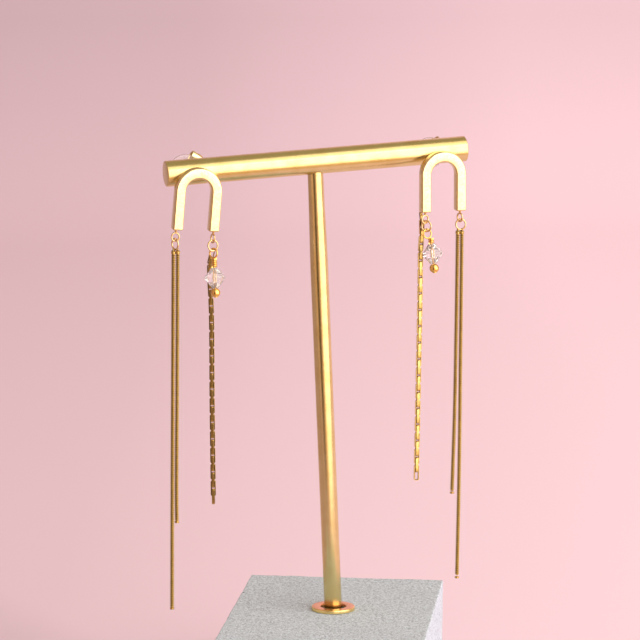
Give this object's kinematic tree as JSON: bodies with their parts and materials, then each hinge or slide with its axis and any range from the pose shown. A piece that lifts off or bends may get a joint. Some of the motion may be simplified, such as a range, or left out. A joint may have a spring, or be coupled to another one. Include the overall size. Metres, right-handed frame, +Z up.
{
  "type": "dangle earrings on t-bar stand",
  "caption": "Long chain dangle earrings with squared U-shaped arches, snake and box chains and a crystal drop, hung on a brass T-bar stand with a cast block foot.",
  "frame": {"origin": "middle of the block's flat underside, straight below the foot of the post", "axes": "+X along the hanging bar to the viewer's right, -Y the front, where the arches hang, +Z up"},
  "size_m": [0.0956, 0.099, 0.1723],
  "materials": {
    "cast_block": "fine speckled cast concrete, matt",
    "copper_flange": "satin, coppery",
    "satin_brass": "satin brushed",
    "polished_gold": "polished gold plate",
    "warm_gold": "polished warm gold plate",
    "chain_gold": "polished gold plate chain",
    "clear_pad": "clear soft plastic",
    "crystal": "faceted clear crystal"
  },
  "bodies": {
    "root": {"base_block": "cast_block", "base_flange": "copper_flange", "post": "satin_brass", "hang_bar": "satin_brass", "left_arch": "polished_gold", "left_clutch_pad": "clear_pad", "left_clutch": "polished_gold", "left_snake_ring": "warm_gold", "left_drop_ring": "warm_gold", "left_snake_long": "chain_gold", "left_snake_short": "chain_gold", "left_box_chain": "chain_gold", "left_head_pin": "warm_gold", "left_crystal": "crystal", "left_bead": "warm_gold", "right_arch": "polished_gold", "right_clutch_pad": "clear_pad", "right_clutch": "polished_gold", "right_snake_ring": "warm_gold", "right_drop_ring": "warm_gold", "right_snake_long": "chain_gold", "right_snake_short": "chain_gold", "right_box_chain": "chain_gold", "right_head_pin": "warm_gold", "right_crystal": "crystal", "right_bead": "warm_gold"}
  },
  "joints": []
}
